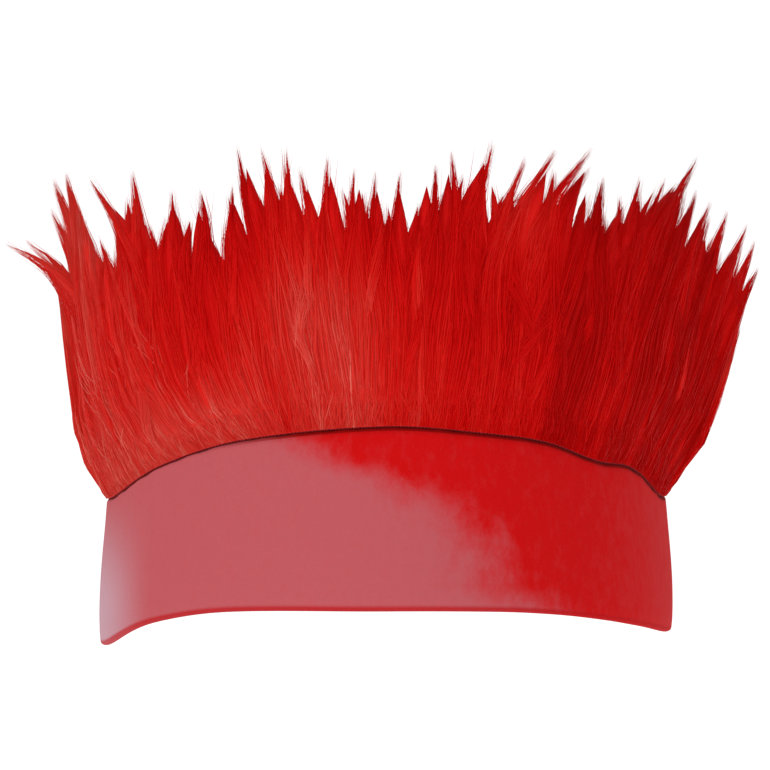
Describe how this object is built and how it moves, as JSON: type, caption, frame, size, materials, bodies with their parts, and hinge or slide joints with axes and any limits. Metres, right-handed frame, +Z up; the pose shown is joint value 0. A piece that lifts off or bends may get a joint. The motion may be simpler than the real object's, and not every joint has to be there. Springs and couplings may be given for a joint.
{
  "type": "spiky hair headband",
  "caption": "Stretch velour headband with a strip of long-pile false hair that stands up in spikes round its top edge.",
  "frame": {"origin": "middle of the head opening, level with the middle of the band at its sides, where it sits on a head (mount head_seat)", "axes": "+Z up out of the top of the head opening, towards the hair tips; -Y is the front that the picture shows, +X to the right of that view"},
  "size_m": [0.2195, 0.2206, 0.1427],
  "materials": {
    "band_velour": "soft brushed stretch velour, matte with a pale nap sheen",
    "backing_knit": "fine knitted backing cloth, matte",
    "hair_pile": "long red false hair in spiked locks, soft satin gloss along the fibres"
  },
  "bodies": {
    "root": {"headband": "band_velour", "fur_backing": "backing_knit", "fur": "hair_pile"}
  },
  "joints": []
}
